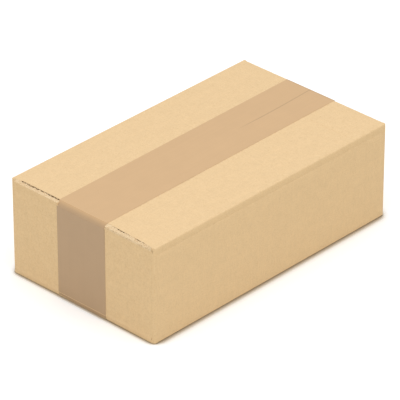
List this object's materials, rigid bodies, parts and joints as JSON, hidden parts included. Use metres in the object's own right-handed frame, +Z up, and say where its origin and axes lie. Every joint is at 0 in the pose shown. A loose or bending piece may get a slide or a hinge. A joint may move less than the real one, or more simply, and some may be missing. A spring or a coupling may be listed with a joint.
{
  "type": "closed cardboard box",
  "caption": "Small flat shipping carton of brown corrugated board, folded shut and sealed with one strip of brown tape wound lengthwise round it.",
  "frame": {"origin": "middle of the box's footprint, on the surface that it stands on", "axes": "+X along the box's length and its centre seam, +Y across its width towards the back panel, +Z up"},
  "size_m": [0.2546, 0.1476, 0.0814],
  "materials": {
    "kraft_board": "matt kraft paper liner, light brown",
    "brown_tape": "smooth tan polypropylene film, satin"
  },
  "bodies": {
    "root": {"carton": "kraft_board", "sealing_tape": "brown_tape"}
  },
  "joints": []
}
